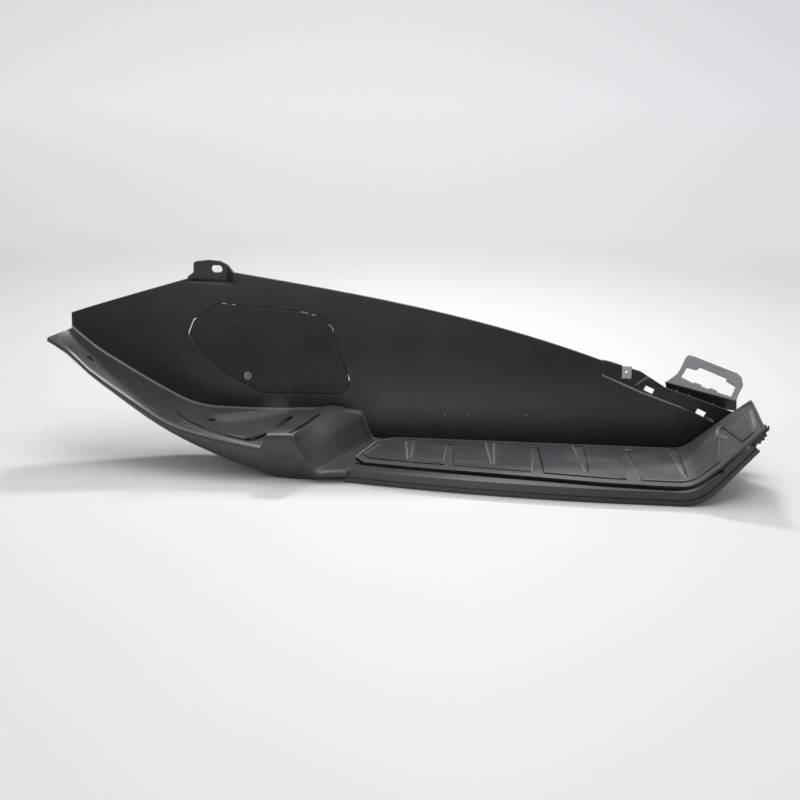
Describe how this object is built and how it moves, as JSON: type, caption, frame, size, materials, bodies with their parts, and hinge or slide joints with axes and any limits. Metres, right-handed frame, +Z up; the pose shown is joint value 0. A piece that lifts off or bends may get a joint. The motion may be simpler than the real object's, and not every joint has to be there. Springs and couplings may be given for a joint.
{
  "type": "scooter floorboard",
  "caption": "Moulded floorboard for one side of a step-through scooter, with a leaning side wall, raised rear shelf, rubber foot mat and removable service hatch.",
  "frame": {"origin": "bottom centre of the overall bounding box, at the height that the part rests on", "axes": "+X to the front of the scooter, +Y to the middle of the scooter, +Z up"},
  "size_m": [0.9094, 0.1896, 0.246],
  "materials": {
    "moulding": "fine grained black moulding with a soft sheen",
    "mat": "smooth matt black rubber",
    "hatch": "fine grained black moulding with a soft sheen",
    "screw": "zinc plated, slightly worn",
    "clip": "spring steel with a dull grey coating"
  },
  "bodies": {
    "root": {"floorboard": "moulding", "foot_mat": "mat", "service_hatch": "hatch", "hatch_screw": "screw", "clip_nut": "clip"}
  },
  "joints": []
}
